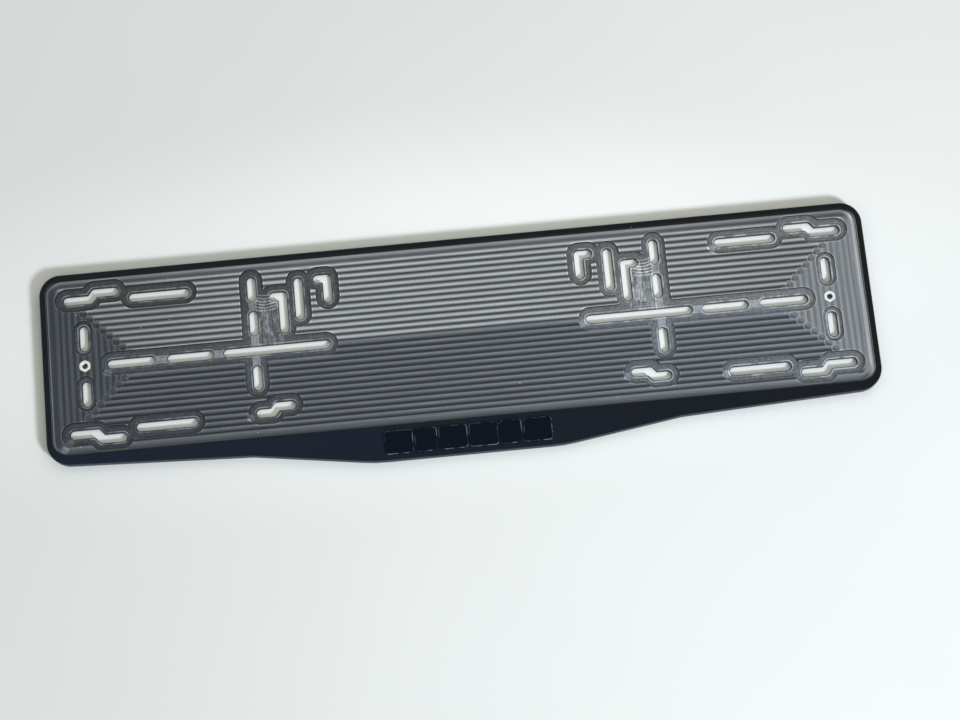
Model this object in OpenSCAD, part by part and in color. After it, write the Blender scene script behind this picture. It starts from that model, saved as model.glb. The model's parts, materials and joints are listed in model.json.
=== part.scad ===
/* [Number plate] */
// Length of the number plate that lies in the pocket
number_plate_l = 520; // [500:1:540]
// Height of the number plate that lies in the pocket
number_plate_h = 112; // [110:1:130]
// Free space between the edge of the number plate and the pocket wall
number_plate_gap = 1; // [0.5:0.1:2]

/* [Sheet] */
// Thickness of the sheet that the holder is milled from
sheet_t = 6; // [5.6:0.1:8]
// Bevel that breaks the outer edges of the sheet
sheet_bevel = 0.4; // [0.2:0.1:0.8]
// Width of the rim beyond each end of the pocket
rim_end = 4; // [3:0.1:8]
// Width of the rim above the pocket
rim_top = 3.5; // [3:0.1:8]
// Radius of the two upper corners
top_corner_r = 13.5; // [8:0.5:20]
// Radius of the two lower corners
low_corner_r = 15; // [8:0.5:20]

/* [Lip] */
// Width of the band below the pocket, at the ends of the holder
band_w = 5.6; // [4:0.1:8]
// Width of the band where the lip begins to drop
bend_band_w = 11.4; // [9:0.1:14]
// Width of the lip at the middle of the holder
lip_w = 22.5; // [19.5:0.1:30]
// Length of the straight edge at the middle of the lip
lip_flat_l = 120; // [110:1:140]
// Distance between the two places where the lip begins to drop
lip_bend_l = 272; // [220:1:320]
// Radius of the rounding at each end of the straight edge
lip_flat_r = 100; // [40:5:140]
// Radius of the hollow where the lip begins to drop
lip_bend_r = 40; // [20:5:80]

/* [Pocket] */
// Depth of the pocket below the front face, down to the grooves
pocket_d = 2; // [1.4:0.1:2.2]
// Radius of the corners of the pocket
pocket_r = 10; // [6:0.5:12]
// Bevel round the mouth of the pocket
pocket_bevel = 0.3; // [0.1:0.05:0.5]
// Distance from the pocket wall to the first ridge that the cutter left
first_pass = 5; // [4:0.1:6]
// Distance from one ridge to the next
pass_pitch = 4; // [3:0.1:6]
// Height of a ridge above the groove beside it
ridge_h = 0.3; // [0.1:0.05:0.4]
// Diameter of the round mark that the cutter left at each turn
turn_mark_d = 5.5; // [3:0.1:6]
// Depth of that mark below the grooves
turn_mark_dip = 0.05; // [0.02:0.01:0.1]

/* [Slots] */
// Width of every slot
slot_w = 5.5; // [4.5:0.1:6.5]
// Bevel round the mouth of every slot
slot_bevel = 0.4; // [0.1:0.05:0.6]
// Depth of the recesses round the slots, below the grooves of the pocket
recess_d = 1.5; // [0.6:0.1:2]
// Width of the recesses round the slots
recess_w = 15.5; // [12:0.1:16]
// Width of the recesses round the upright slots at the ends
end_recess_w = 12.2; // [9:0.1:13]

/* [End slots and nuts] */
// Distance from the pocket's end wall to the line of the end slots and nuts
end_line = 22.4; // [20:0.1:25]
// Distance from the centre line to the near end of an end slot
end_slot_near = 9.9; // [9:0.1:12]
// Distance from the centre line to the far end of an end slot
end_slot_far = 26.2; // [22:0.1:27]
// Width across the flats of the nuts
nut_af = 7; // [6.5:0.1:8]
// Height of the nuts
nut_h = 3.2; // [2.2:0.1:3.3]
// Diameter of the threaded hole of the nuts, at the crests of the thread
nut_bore_d = 3.3; // [2.5:0.1:3.6]
// Bevel at both mouths of the threaded hole
nut_mouth = 0.35; // [0.1:0.05:0.6]
// Angle of the bevel that rounds the corners of the nuts
nut_corner_angle = 30; // [15:1:40]
// Free space between each flat of a nut and its seat
nut_gap = 0.1; // [0.05:0.05:0.2]
// Diameter of the hole behind each nut, for the end of the screw
screw_hole_d = 4.5; // [4:0.1:5]

/* [Corner slots] */
// Distance from the pocket's end wall to the outer end of a corner slot
corner_slot_inset = 10.4; // [9:0.1:12]
// Length of the outer half of a corner slot
corner_outer_l = 20.1; // [17:0.1:22]
// Length of the inner half of a corner slot
corner_inner_l = 18.3; // [15:0.1:20]
// Length over which the two halves lie side by side
corner_overlap = 2.5; // [1:0.1:4]
// Distance from the pocket wall to the line of the outer half
corner_outer_inset = 13.3; // [12:0.1:14]
// Distance from the pocket wall to the line of the inner half
corner_inner_inset = 9.3; // [9:0.1:10]

/* [Long slots] */
// Distance from the middle of the holder to the near end of a long slot
long_slot_near = 169.4; // [165:0.1:172]
// Distance from the middle of the holder to the far end of a long slot
long_slot_far = 208.6; // [195:0.1:209]
// Distance from the pocket wall to the line of the long slots
long_slot_inset = 14.6; // [10:0.1:16]

/* [Centre row] */
// Distance from the middle of the holder to the near end of the inner slot
row_inner_near = 81.8; // [70:0.1:90]
// Distance from the middle of the holder to the far end of the inner slot
row_inner_far = 150.4; // [140:0.1:152]
// Distance from the middle of the holder to the near end of the middle slot
row_middle_near = 156.8; // [156:0.1:160]
// Distance from the middle of the holder to the far end of the middle slot
row_middle_far = 186.4; // [180:0.1:188]
// Distance from the middle of the holder to the near end of the outer slot
row_outer_near = 194; // [192:0.1:200]
// Distance from the middle of the holder to the far end of the outer slot
row_outer_far = 224.6; // [216:0.1:225]

/* [Upright slots] */
// Distance from the middle of the holder to the outer upright slots
outer_upright_x = 129.8; // [128:0.1:132]
// Distance from the pocket wall to the top of the upper outer slot
outer_upright_inset = 8.6; // [8:0.1:12]
// Length of the upper outer slot
outer_upright_l = 16.1; // [12:0.1:17]
// Distance from the centre line to the near end of an upright slot
upright_near = 9.8; // [9:0.1:11]
// Distance from the centre line to the far end of the middle outer slot
middle_upright_far = 25.9; // [22:0.1:27]
// Distance from the middle of the holder to the long upright slots
long_upright_x = 99.8; // [98:0.1:101]
// Distance from the centre line to the near end of a long upright slot
long_upright_near = 17.5; // [16:0.1:20]
// Distance from the pocket wall to the top of a long upright slot
long_upright_inset = 11.7; // [10:0.1:14]

/* [Hooked slots] */
// Distance from the middle of the holder to the stem of the outer hooks
outer_hook_x = 110.3; // [109:0.1:112]
// Distance from the pocket wall to the line of the arm of the outer hooks
outer_hook_inset = 22.7; // [20:0.1:24]
// Distance from the middle of the holder to the end of that arm
outer_hook_reach = 118.9; // [116:0.1:121]
// Distance from the middle of the holder to the stem of the inner hooks
inner_hook_x = 81.2; // [80:0.1:84]
// Distance from the centre line to the near end of the inner hooks
inner_hook_near = 27.1; // [25:0.1:30]
// Distance from the pocket wall to the line of the arm of the inner hooks
inner_hook_inset = 13.8; // [11:0.1:15]
// Distance from the middle of the holder to the end of that arm
inner_hook_reach = 90; // [88:0.1:91]

/* [Stepped slots] */
// Distance from the middle of the holder to the near end of a stepped slot
step_near = 107; // [105:0.1:110]
// Distance from the middle of the holder to the far end of a stepped slot
step_far = 132.3; // [130:0.1:134]
// Distance from the middle of the holder to the step
step_x = 120.4; // [118:0.1:122]
// Length over which the two halves of a stepped slot lie side by side
step_overlap = 2.8; // [1:0.1:4]
// Distance from the pocket's lower wall to the line of the inner half
step_inner_inset = 19.7; // [18:0.1:21]
// Distance from the pocket's lower wall to the line of the outer half
step_outer_inset = 16.1; // [14:0.1:17]

/* [Lip tiles] */
// Widths of the raised tiles on the lip, from left to right
tile_widths = [18, 14, 18, 18, 14, 18];
// Height of the tiles
tile_h = 15; // [10:0.1:16]
// Thickness of the tiles
tile_t = 1.2; // [0.6:0.1:3]
// Radius of the corners of the tiles
tile_r = 2; // [1:0.1:4]
// Bevel round the face of the tiles
tile_bevel = 0.4; // [0.1:0.05:0.5]
// Space between one tile and the next
tile_gap = 1.2; // [0.5:0.1:4]

/* [Hidden] */

$fn = 96;
// How far a cut runs past the face that it opens
past = 1;
// How far a bevelling cut runs past the face that it opens
bevel_past = 0.2;
// Largest angle between two points of a rounded corner of the outline
arc_step = 5;

// The pocket
half_l = number_plate_l / 2 + number_plate_gap;
half_h = number_plate_h / 2 + number_plate_gap;
floor_z = sheet_t - pocket_d;
recess_z = floor_z - recess_d;

// The outline, anticlockwise from the right end of the lip's straight edge, each corner as [x, y, radius]
end_x = half_l + rim_end;
right_outline = [
    [lip_flat_l / 2, -half_h - lip_w, lip_flat_r],
    [lip_bend_l / 2, -half_h - bend_band_w, lip_bend_r],
    [end_x, -half_h - band_w, low_corner_r],
    [end_x, half_h + rim_top, top_corner_r],
];
outline = concat(right_outline,
                 [for (i = [len(right_outline) - 1:-1:0])
                     let (c = right_outline[i]) [-c[0], c[1], c[2]]]);
corner_count = len(outline);

// The ridges on the pocket's floor, one ring for each pass of the cutter
pass_count = floor((half_h - first_pass) / pass_pitch) + 1;

// The nuts
end_line_x = half_l - end_line;
nut_seat_z = floor_z - nut_h;
nut_pocket_af = nut_af + 2 * nut_gap;

// Centre lines of the slots of the right half, each a list of points
slot_r = slot_w / 2;
recess_r = recess_w / 2;
corner_outer_x = half_l - corner_slot_inset;
corner_step_x = corner_outer_x - corner_outer_l;
corner_inner_x = corner_step_x + corner_overlap - corner_inner_l;
function row_slot(near, far) = [[near + slot_r, 0], [far - slot_r, 0]];
function upright_slot(x, low, high) = [[x, low + slot_r], [x, high - slot_r]];
function hooked_slot(x, low, arm_y, reach) =
    [[x, low + slot_r], [x, arm_y], [reach - slot_r, arm_y]];
function corner_slot(side) = [
    [corner_outer_x - slot_r, side * (half_h - corner_outer_inset)],
    [corner_step_x + slot_r, side * (half_h - corner_outer_inset)],
    [corner_step_x + corner_overlap - slot_r, side * (half_h - corner_inner_inset)],
    [corner_inner_x + slot_r, side * (half_h - corner_inner_inset)],
];
function long_slot(side) = [
    [long_slot_near + slot_r, side * (half_h - long_slot_inset)],
    [long_slot_far - slot_r, side * (half_h - long_slot_inset)],
];
row_slots = [
    row_slot(row_inner_near, row_inner_far),
    row_slot(row_middle_near, row_middle_far),
    row_slot(row_outer_near, row_outer_far),
];
end_slots = [
    upright_slot(end_line_x, end_slot_near, end_slot_far),
    upright_slot(end_line_x, -end_slot_far, -end_slot_near),
];
outer_upright_top = half_h - outer_upright_inset;
outer_upright_slots = [
    upright_slot(outer_upright_x, outer_upright_top - outer_upright_l, outer_upright_top),
    upright_slot(outer_upright_x, upright_near, middle_upright_far),
    upright_slot(outer_upright_x, -middle_upright_far, -upright_near),
];
stepped_slot = [
    [step_near + slot_r, step_inner_inset - half_h],
    [step_x + step_overlap / 2 - slot_r, step_inner_inset - half_h],
    [step_x - step_overlap / 2 + slot_r, step_outer_inset - half_h],
    [step_far - slot_r, step_outer_inset - half_h],
];
field_slots = [
    corner_slot(1),
    corner_slot(-1),
    long_slot(1),
    long_slot(-1),
    upright_slot(long_upright_x, long_upright_near, half_h - long_upright_inset),
    hooked_slot(outer_hook_x, upright_near, half_h - outer_hook_inset, outer_hook_reach),
    hooked_slot(inner_hook_x, inner_hook_near, half_h - inner_hook_inset, inner_hook_reach),
    stepped_slot,
];

// Centre lines of the recesses that several slots share
shared_recesses = [
    row_slot(row_inner_near, row_outer_far),
    upright_slot(outer_upright_x, -middle_upright_far, outer_upright_top),
    upright_slot((outer_upright_x + outer_hook_x) / 2, upright_near, middle_upright_far),
];

// The tiles, centred on the lip
tile_count = len(tile_widths);
tile_y = -half_h - lip_w / 2;
function width_before(i) = i == 0 ? 0 : width_before(i - 1) + tile_widths[i - 1] + tile_gap;
tile_row_l = width_before(tile_count) - tile_gap;

// A corner of the outline: the directions to its neighbours, and its arc
function unit(v) = v / norm(v);
function place(i) = [outline[i][0], outline[i][1]];
function to_last(i) = unit(place((i + corner_count - 1) % corner_count) - place(i));
function to_next(i) = unit(place((i + 1) % corner_count) - place(i));
function radius(i) = outline[i][2];
function opening_angle(i) = acos(to_last(i) * to_next(i));
function arc_centre(i) =
    place(i) + unit(to_last(i) + to_next(i)) * radius(i) / sin(opening_angle(i) / 2);
function turn_sign(i) = sign(cross(-to_last(i), to_next(i)));

// Points along the arc of a corner, moved inwards by `inset`
function arc_points(i, inset) =
    let (turn = turn_sign(i),
         sweep = 180 - opening_angle(i),
         steps = ceil(sweep / arc_step),
         middle = place(i) - arc_centre(i),
         middle_angle = atan2(middle[1], middle[0]))
    [for (k = [0:steps])
        let (angle = middle_angle + turn * sweep * (k / steps - 0.5))
        arc_centre(i) + (radius(i) - turn * inset) * [cos(angle), sin(angle)]];
function outline_points(inset) =
    [for (i = [0:corner_count - 1], p = arc_points(i, inset)) p];

// The blank of the holder, its outer edges broken by bevels
module sheet() {
    levels = [[0, sheet_bevel], [sheet_bevel, 0], [sheet_t - sheet_bevel, 0], [sheet_t, sheet_bevel]];
    rings = [for (level = levels)
        [for (p = outline_points(level[1])) [p[0], p[1], level[0]]]];
    count = len(rings[0]);
    last = len(levels) - 1;
    sides = [for (ring = [1:last], k = [0:count - 1])
        let (below = (ring - 1) * count, above = ring * count, next = (k + 1) % count)
        [below + k, above + k, above + next, below + next]];
    strips = [for (k = [0:count / 2 - 2]) [k, k + 1, count - 2 - k, count - 1 - k]];
    polyhedron(
        points = [for (ring = rings, p = ring) p],
        faces = concat(strips, sides,
                       [for (strip = strips) [for (k = [3:-1:0]) last * count + strip[k]]]));
}

// A bar with upright or flaring sides, from one point to another, standing on z = 0
module flaring_bar(from, to, half_w, height, flare) {
    run = to - from;
    translate(from)
        rotate(atan2(run[1], run[0]))
            rotate([90, 0, 90])
                linear_extrude(norm(run))
                    polygon([
                        [-half_w, 0], [half_w, 0],
                        [half_w + flare, height], [-half_w - flare, height],
                    ]);
}

// What a round cutter clears along a line of points, standing on z = 0
module cutter_path(points, half_w, height, flare = 0) {
    for (p = points)
        translate(p) cylinder(h = height, r1 = half_w, r2 = half_w + flare);
    for (i = [1:len(points) - 1])
        flaring_bar(points[i - 1], points[i], half_w, height, flare);
}

// A block with rounded corners whose outline grows by `flare` from bottom to top
module rounded_block(length, width, corner_r, height, flare = 0) {
    x = length / 2 - corner_r;
    y = width / 2 - corner_r;
    flaring_bar([-x, 0], [x, 0], width / 2, height, flare);
    flaring_bar([0, -y], [0, y], length / 2, height, flare);
    for (i = [-1, 1], j = [-1, 1])
        translate([i * x, j * y, 0])
            cylinder(h = height, r1 = corner_r, r2 = corner_r + flare);
}

// Grooves and crests from a wall at `half` inwards to zero
function ridge_profile(half) =
    [for (k = [0:pass_count - 1])
        let (crest = half - first_pass - k * pass_pitch)
        for (p = [[crest + pass_pitch / 2, 0], [crest, ridge_h]]) if (p[0] > 0) p];

// Section across the ridges, for a pocket that reaches `half` to each side
module ridge_section(half) {
    side = half + past;
    right = ridge_profile(half);
    innermost = half - first_pass - (pass_count - 1) * pass_pitch;
    middle = innermost > 0 ? [] : [[0, ridge_h]];
    left = [for (i = [len(right) - 1:-1:0]) [-right[i][0], right[i][1]]];
    polygon(concat([[side, -2 * past], [side, 0]], right, middle, left,
                   [[-side, 0], [-side, -2 * past]]));
}

// The ridges round one corner of the pocket, where the first passes follow the rounded wall
module turned_ridges() {
    side = pocket_r + past;
    rotate_extrude()
        polygon(concat([[0, -2 * past], [side, -2 * past], [side, 0]],
                       ridge_profile(pocket_r), [[0, ridge_h]]));
}

// The square that a rounded corner of the pocket lies in, from its centre outwards
module corner_square(drop) {
    translate([0, 0, -drop]) cube([pocket_r + 2 * past, pocket_r + 2 * past, drop + past]);
}

// The rings of ridges, mitred at every corner, the grooves at z = 0
module mitred_ridges() {
    reach = half_h + past;
    tip = half_l - half_h;
    intersection() {
        rotate([90, 0, 90])
            linear_extrude(2 * (half_l + past), center = true) ridge_section(half_h);
        translate([0, 0, -3 * past])
            linear_extrude(4 * past)
                polygon([
                    [-tip, 0], [-tip - reach, -reach], [tip + reach, -reach],
                    [tip, 0], [tip + reach, reach], [-tip - reach, reach],
                ]);
    }
    for (side = [0, 1])
        mirror([side, 0, 0])
            intersection() {
                rotate([90, 0, 0])
                    linear_extrude(2 * reach, center = true) ridge_section(half_l);
                translate([0, 0, -3 * past])
                    linear_extrude(4 * past)
                        polygon([[tip, 0], [tip + reach, -reach], [tip + reach, reach]]);
            }
}

// Puts a copy of its children at the centre of each rounded corner of the pocket
module at_pocket_corners() {
    for (i = [0, 1], j = [0, 1])
        mirror([i, 0, 0])
            mirror([0, j, 0])
                translate([half_l - pocket_r, half_h - pocket_r, 0]) children();
}

// The floor of the pocket
module ridged_floor() {
    difference() {
        mitred_ridges();
        at_pocket_corners() corner_square(4 * past);
    }
    at_pocket_corners()
        intersection() {
            turned_ridges();
            corner_square(3 * past);
        }
}

module pocket_cut() {
    difference() {
        translate([0, 0, floor_z - past])
            rounded_block(2 * half_l, 2 * half_h, pocket_r, pocket_d + 2 * past);
        translate([0, 0, floor_z]) ridged_floor();
    }
    translate([0, 0, sheet_t - pocket_bevel])
        rounded_block(2 * half_l, 2 * half_h, pocket_r,
                      pocket_bevel + bevel_past, pocket_bevel + bevel_past);
}

// Round marks where the cutter turned, along the mitres of the rings
module turn_marks() {
    for (k = [1:pass_count - 1], i = [-1, 1], j = [-1, 1]) {
        inset = first_pass + (k - 0.5) * pass_pitch;
        if (inset > pocket_r)
            translate([i * (half_l - inset), j * (half_h - inset), floor_z - turn_mark_dip])
                cylinder(h = pocket_d, d = turn_mark_d);
    }
}

// All the cuts of the right half that follow the slots
module slot_cuts() {
    depth = sheet_t + past - recess_z;
    translate([0, 0, recess_z]) {
        for (path = concat(shared_recesses, field_slots))
            cutter_path(path, recess_r, depth);
        for (path = end_slots)
            cutter_path(path, end_recess_w / 2, depth);
    }
    for (path = concat(row_slots, end_slots, outer_upright_slots, field_slots)) {
        translate([0, 0, -past])
            cutter_path(path, slot_r, recess_z + 2 * past);
        translate([0, 0, recess_z - slot_bevel])
            cutter_path(path, slot_r, slot_bevel + bevel_past, slot_bevel + bevel_past);
    }
}

module nut_seat() {
    translate([end_line_x, 0, nut_seat_z])
        rotate(30)
            cylinder(h = nut_h + pocket_d, d = nut_pocket_af / cos(30), $fn = 6);
    translate([end_line_x, 0, -past])
        cylinder(h = nut_seat_z + 2 * past, d = screw_hole_d);
}

module holder_plate() {
    color("#3a3d44")
        difference() {
            sheet();
            pocket_cut();
            turn_marks();
            for (side = [0, 1])
                mirror([side, 0, 0]) {
                    slot_cuts();
                    nut_seat();
                }
        }
}

// A hexagon nut, its corners rounded off by a cone at both ends
module hex_nut() {
    corner_r = nut_af / 2 / cos(30);
    cone_drop = (corner_r - nut_af / 2) * tan(nut_corner_angle);
    color("#d9dcdf")
        difference() {
            intersection() {
                rotate(30) cylinder(h = nut_h, r = corner_r, $fn = 6);
                union() {
                    cylinder(h = cone_drop, r1 = nut_af / 2, r2 = corner_r);
                    translate([0, 0, cone_drop])
                        cylinder(h = nut_h - 2 * cone_drop, r = corner_r);
                    translate([0, 0, nut_h - cone_drop])
                        cylinder(h = cone_drop, r1 = corner_r, r2 = nut_af / 2);
                }
            }
            translate([0, 0, -past]) cylinder(h = nut_h + 2 * past, d = nut_bore_d);
            for (up = [0, 1])
                translate([0, 0, up * nut_h])
                    mirror([0, 0, up])
                        translate([0, 0, -bevel_past])
                            cylinder(h = nut_mouth + bevel_past,
                                     r1 = nut_bore_d / 2 + nut_mouth + bevel_past,
                                     r2 = nut_bore_d / 2);
        }
}

module end_nut(side) {
    translate([side * end_line_x, 0, nut_seat_z]) hex_nut();
}

// One of the plain raised tiles on the lip, counted from the left
module lip_tile(i) {
    width = tile_widths[i - 1];
    x = width_before(i - 1) + (width - tile_row_l) / 2;
    color("#0c0c0e")
        translate([x, tile_y, sheet_t]) {
            rounded_block(width, tile_h, tile_r, tile_t - tile_bevel);
            translate([0, 0, tile_t - tile_bevel])
                rounded_block(width, tile_h, tile_r, tile_bevel, -tile_bevel);
        }
}

holder_plate();
end_nut(-1);  // left_nut
end_nut(1);  // right_nut
for (i = [1:tile_count])
    lip_tile(i);
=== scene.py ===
"""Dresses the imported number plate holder: a milled black sheet with two nuts and a row of raised tiles."""

import json
import logging
import math
from dataclasses import dataclass
from enum import Enum

import bmesh
import bpy
from mathutils import Euler, Matrix, Vector

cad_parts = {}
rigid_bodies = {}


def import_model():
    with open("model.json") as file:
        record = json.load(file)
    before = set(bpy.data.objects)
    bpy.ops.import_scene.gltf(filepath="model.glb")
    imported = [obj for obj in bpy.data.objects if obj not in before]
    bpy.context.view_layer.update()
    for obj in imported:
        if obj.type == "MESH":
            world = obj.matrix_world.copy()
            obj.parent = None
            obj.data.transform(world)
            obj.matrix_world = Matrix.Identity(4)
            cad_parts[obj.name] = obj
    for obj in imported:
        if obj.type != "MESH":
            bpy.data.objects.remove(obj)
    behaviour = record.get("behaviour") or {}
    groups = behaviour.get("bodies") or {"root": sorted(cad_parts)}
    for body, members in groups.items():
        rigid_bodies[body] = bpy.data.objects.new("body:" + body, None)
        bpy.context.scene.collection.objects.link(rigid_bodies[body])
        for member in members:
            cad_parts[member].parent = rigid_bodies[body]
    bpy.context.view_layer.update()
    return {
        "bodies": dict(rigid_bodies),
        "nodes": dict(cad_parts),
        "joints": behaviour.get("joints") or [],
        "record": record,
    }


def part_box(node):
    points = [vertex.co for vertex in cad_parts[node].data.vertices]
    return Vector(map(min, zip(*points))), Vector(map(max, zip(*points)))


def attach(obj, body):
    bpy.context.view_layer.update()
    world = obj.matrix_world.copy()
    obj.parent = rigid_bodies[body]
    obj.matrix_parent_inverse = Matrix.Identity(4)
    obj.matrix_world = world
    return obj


LOG = logging.getLogger("plate_holder")
MM = 0.001
EYE_GAMMA = 2.2

Socket = bpy.types.NodeSocket
Point = tuple[float, float, float]
Shade = tuple[float, float, float]
Pair = tuple[float, float]
Stops = tuple[Pair, ...]
Boxes = dict[str, list[list[float]]]


def as_linear(shade: Shade) -> tuple[float, float, float, float]:
    """Turn an sRGB colour into the linear one, with an alpha of 1, that a shader takes."""
    linear = (c / 12.92 if c <= 0.04045 else ((c + 0.055) / 1.055) ** 2.4 for c in shade)
    return (*linear, 1.0)


class Paint:
    """Adds shader nodes to one tree and joins them."""

    MIX_SOCKETS = {"FLOAT": (2, 3, 0), "RGBA": (6, 7, 2)}
    SCALE_INPUT = 3

    def __init__(self, tree: bpy.types.NodeTree, effects: "SharedEffects | None" = None) -> None:
        """Take the tree that the nodes go into, and the shared groups if it uses them."""
        self.tree = tree
        self.effects = effects

    def node(self, kind: str, **settings: object) -> bpy.types.Node:
        """Add one node.

        Args:
            kind: Blender's name for its type.
            settings: Its own settings, by name.

        Returns:
            The node.
        """
        made = self.tree.nodes.new(kind)
        for name, value in settings.items():
            setattr(made, name, value)
        return made

    def feed(self, socket: Socket, value: object) -> None:
        """Join an input to a socket or set it to a value.

        Args:
            socket: The input.
            value: A socket, a value, or None to leave the input as it is.
        """
        if isinstance(value, bpy.types.NodeSocket):
            self.tree.links.new(value, socket)
        elif value is not None:
            socket.default_value = value

    def math(self, operation: str, *values: object, clamp: bool = False) -> Socket:
        """Work out a number.

        Args:
            operation: Blender's name for the operation.
            values: What it takes, in its order.
            clamp: Whether the result is kept between 0 and 1.

        Returns:
            The result's socket.
        """
        made = self.node("ShaderNodeMath", operation=operation, use_clamp=clamp)
        for socket, value in zip(made.inputs, values):
            self.feed(socket, value)
        return made.outputs[0]

    def vector(self, operation: str, first: object, second: object = None, scale: object = None) -> Socket:
        """Work out a vector or, with LENGTH, DISTANCE or DOT_PRODUCT, a number.

        Args:
            operation: Blender's name for the operation.
            first: A vector.
            second: Another, if it takes two.
            scale: A number, for SCALE.

        Returns:
            The result's socket.
        """
        made = self.node("ShaderNodeVectorMath", operation=operation)
        self.feed(made.inputs[0], first)
        self.feed(made.inputs[1], second)
        self.feed(made.inputs[self.SCALE_INPUT], scale)
        gives_number = operation in {"LENGTH", "DISTANCE", "DOT_PRODUCT"}
        return made.outputs["Value" if gives_number else "Vector"]

    def parts(self, vector: Socket) -> tuple[Socket, Socket, Socket]:
        """Split a vector into its three numbers.

        Args:
            vector: The vector.

        Returns:
            Their sockets.
        """
        made = self.node("ShaderNodeSeparateXYZ")
        self.feed(made.inputs[0], vector)
        return made.outputs[0], made.outputs[1], made.outputs[2]

    def joined(self, x: object, y: object) -> Socket:
        """Make a level vector of two numbers.

        Args:
            x: The first number.
            y: The second number.

        Returns:
            The vector's socket.
        """
        made = self.node("ShaderNodeCombineXYZ")
        self.feed(made.inputs[0], x)
        self.feed(made.inputs[1], y)
        return made.outputs[0]

    def rise(self, value: object, low: float, high: float, start: object = 0.0, end: object = 1.0) -> Socket:
        """Go smoothly from one number to another as a value goes from low to high.

        Args:
            value: The value that drives the change.
            low: Where the change starts.
            high: Where it ends.
            start: The result below low.
            end: The result above high.

        Returns:
            The result's socket.
        """
        made = self.node("ShaderNodeMapRange", interpolation_type="SMOOTHSTEP")
        settings = {"Value": value, "From Min": low, "From Max": high, "To Min": start, "To Max": end}
        for name, given in settings.items():
            self.feed(made.inputs[name], given)
        return made.outputs["Result"]

    def fall(self, value: object, low: float, high: float) -> Socket:
        """Go smoothly from 1 to 0 as a value goes from low to high."""
        return self.rise(value, low, high, 1.0, 0.0)

    def rise_at(self, value: object, length: float, edge: Pair) -> Socket:
        """Go from 0 to 1 where a value passes a length, over an edge counted from there."""
        return self.rise(value, length + edge[0], length + edge[1])

    def fall_at(self, value: object, length: float, edge: Pair) -> Socket:
        """Go from 1 to 0 where a value passes a length, over an edge counted from there."""
        return self.fall(value, length + edge[0], length + edge[1])

    def between(self, value: object, rising: Pair, falling: Pair) -> Socket:
        """Mask where a value has risen past one pair of numbers and not yet past the next."""
        return self.product(self.rise(value, *rising), self.fall(value, *falling))

    def product(self, *values: object) -> Socket:
        """Multiply several numbers.

        Args:
            values: The numbers.

        Returns:
            The product, a socket if there are several.
        """
        result = values[0]
        for value in values[1:]:
            result = self.math("MULTIPLY", result, value)
        return result

    def factor(self, swing: object, strength: object = 1.0) -> Socket:
        """Turn a swing round 0 into a factor round 1."""
        return self.math("ADD", self.math("MULTIPLY", swing, strength), 1.0)

    def apart(self, first: object, second: object) -> Socket:
        """Work out how far two numbers lie apart."""
        return self.math("ABSOLUTE", self.math("SUBTRACT", first, second))

    def wave(self, value: object, length: float) -> Socket:
        """Make a sine wave of a given length."""
        return self.math("SINE", self.math("MULTIPLY", value, 2 * math.pi / length))

    def choose(self, mask: object, without: object, with_mask: object, kind: str = "FLOAT") -> Socket:
        """Go from one value to another with a mask.

        Args:
            mask: A number from 0 to 1.
            without: What it gives at 0.
            with_mask: What it gives at 1.
            kind: FLOAT for numbers or RGBA for colours.

        Returns:
            The result's socket.
        """
        low, high, result = self.MIX_SOCKETS[kind]
        made = self.node("ShaderNodeMix", data_type=kind)
        for index, value in ((0, mask), (low, without), (high, with_mask)):
            self.feed(made.inputs[index], value)
        return made.outputs[result]

    def tint(self, mask: object, without: object, with_mask: object) -> Socket:
        """Go from one colour to another with a mask from 0 to 1."""
        return self.choose(mask, without, with_mask, "RGBA")

    def curve(self, value: Socket, stops: Stops) -> Socket:
        """Read a number off a smooth curve.

        Args:
            value: Where to read it, from 0 to 1.
            stops: The curve's points, each a place and a result.

        Returns:
            The result's socket.
        """
        made = self.node("ShaderNodeValToRGB")
        ramp = made.color_ramp
        ramp.interpolation = "CARDINAL"
        while len(ramp.elements) < len(stops):
            ramp.elements.new(0.5)
        for element, (place, result) in zip(ramp.elements, stops):
            element.position = place
            element.color = (result, result, result, 1.0)
        self.feed(made.inputs[0], value)
        return made.outputs[0]

    def least(self, values: list[Socket]) -> Socket:
        """Keep the least of several numbers.

        Args:
            values: The numbers.

        Returns:
            The least one's socket.
        """
        lowest = values[0]
        for value in values[1:]:
            lowest = self.math("MINIMUM", lowest, value)
        return lowest

    def noise(self, place: Socket, scale: float, detail: float = 2.0, roughness: float = 0.5) -> Socket:
        """Read fractal noise between 0 and 1.

        Args:
            place: Where it is read.
            scale: How fine it is.
            detail: How many finer layers it has.
            roughness: How much they count.

        Returns:
            The noise's socket.
        """
        made = self.node("ShaderNodeTexNoise")
        settings = {"Vector": place, "Scale": scale, "Detail": detail, "Roughness": roughness}
        for name, value in settings.items():
            self.feed(made.inputs[name], value)
        return made.outputs[0]

    def slope(self) -> Socket:
        """Read how far the surface faces up, from 0 for upright to 1 for level."""
        return self.parts(self.node("ShaderNodeTexCoord").outputs["Normal"])[2]

    def bump(self, shader: bpy.types.Node, height: Socket, strength: float, depth: float) -> None:
        """Bump a shader's surface.

        Args:
            shader: The shader.
            height: A height from 0 to 1.
            strength: How much the bump shows.
            depth: How deep a height of 1 is, in millimetres.
        """
        made = self.node("ShaderNodeBump")
        made.inputs["Strength"].default_value = strength
        made.inputs["Distance"].default_value = depth * MM
        self.feed(made.inputs["Height"], height)
        self.feed(shader.inputs["Normal"], made.outputs[0])

    def group(self, tree: bpy.types.NodeTree, **values: object) -> bpy.types.Node:
        """Place a node group and feed its inputs.

        Args:
            tree: The group.
            values: What goes in, by the inputs' names, with _ for a space.

        Returns:
            The group's node.
        """
        made = self.node("ShaderNodeGroup")
        made.node_tree = tree
        for name, value in values.items():
            self.feed(made.inputs[name.replace("_", " ").capitalize()], value)
        return made


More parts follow.
